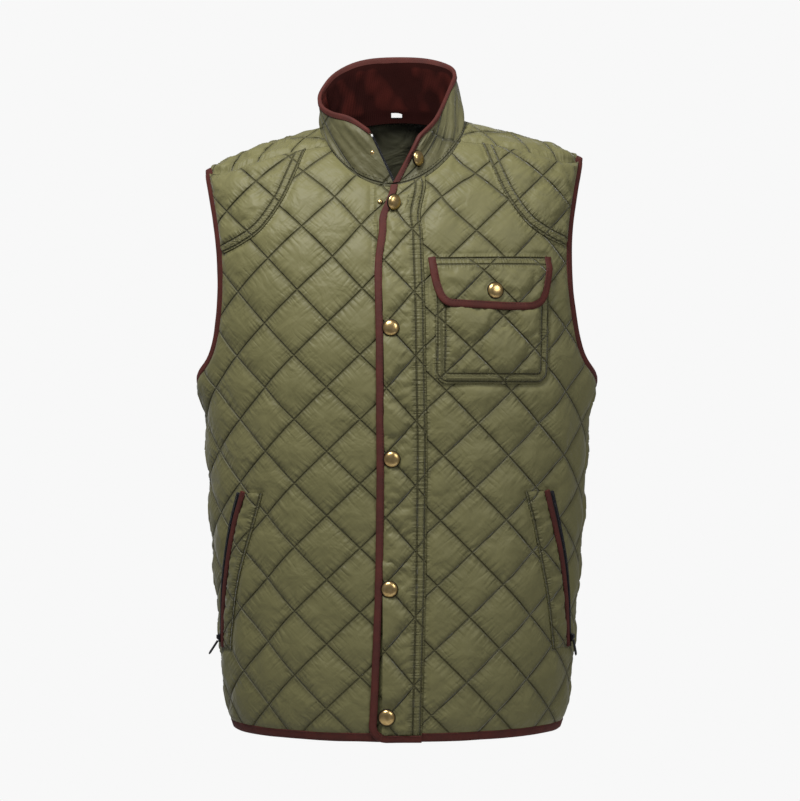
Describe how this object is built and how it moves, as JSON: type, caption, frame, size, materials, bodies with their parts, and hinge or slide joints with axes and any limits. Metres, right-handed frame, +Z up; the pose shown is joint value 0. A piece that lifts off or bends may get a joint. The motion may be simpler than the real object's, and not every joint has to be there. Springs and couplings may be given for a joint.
{
  "type": "quilted vest",
  "caption": "Diamond-quilted sleeveless vest with stand collar, snapped placket, flap chest pocket, zipped side pockets and contrast binding, filled out as worn.",
  "frame": {"origin": "middle of the neck base, level with the highest points of the shoulders, where the wearer's shoulders hold it", "axes": "+Z up, -Y the way the wearer faces, +X towards the wearer's left"},
  "size_m": [0.4728, 0.2614, 0.7975],
  "materials": {
    "quilted_shell": "olive green polyester taffeta with a soft sheen, quilted in diamonds over thin wadding",
    "binding": "matt reddish brown folded braid",
    "collar_lining": "dark wine red fine corduroy",
    "body_lining": "black green nylon lining with a slight sheen",
    "zip": "black woven tape with nylon coil",
    "zip_slider": "black enamelled zinc",
    "zip_pull": "black moulded pull",
    "stud": "antique brushed brass",
    "label": "blank white satin tape"
  },
  "bodies": {
    "vest": {"back": "quilted_shell", "front_right": "quilted_shell", "front_left": "quilted_shell", "placket": "quilted_shell", "shoulder_patch_right": "quilted_shell", "shoulder_patch_left": "quilted_shell", "chest_pocket": "quilted_shell", "chest_flap": "quilted_shell", "side_welt_right": "quilted_shell", "side_welt_left": "quilted_shell", "collar": "quilted_shell", "placket_binding": "binding", "flap_binding": "binding", "welt_binding_right": "binding", "welt_binding_left": "binding", "armhole_binding_right": "binding", "armhole_binding_left": "binding", "hem_binding": "binding", "collar_binding": "binding", "collar_lining": "collar_lining", "lining_back": "body_lining", "lining_right": "body_lining", "lining_left": "body_lining", "front_zip": "zip", "collar_zip": "zip", "side_zip_right": "zip", "side_zip_left": "zip", "side_slider_right": "zip_slider", "side_slider_left": "zip_slider", "snap_front_1": "stud", "snap_front_2": "stud", "snap_front_3": "stud", "snap_front_4": "stud", "snap_front_5": "stud", "snap_flap": "stud", "snap_collar": "stud", "stud_collar": "stud", "stud_front": "stud", "neck_label": "label"},
    "pull_right": {"side_pull_right": "zip_pull"},
    "pull_left": {"side_pull_left": "zip_pull"}
  },
  "joints": [
    {"name": "pull_right_swing", "type": "hinge", "parent": "vest", "child": "pull_right", "pos_m": [-0.20524, -0.03028, -0.60159], "axis": [-0.3153, 0.9413, 0.1206], "range_deg": [-33, 75]},
    {"name": "pull_left_swing", "type": "hinge", "parent": "vest", "child": "pull_left", "pos_m": [0.20813, -0.04135, -0.59953], "axis": [-0.4096, -0.8908, -0.1965], "range_deg": [-7, 100]}
  ]
}
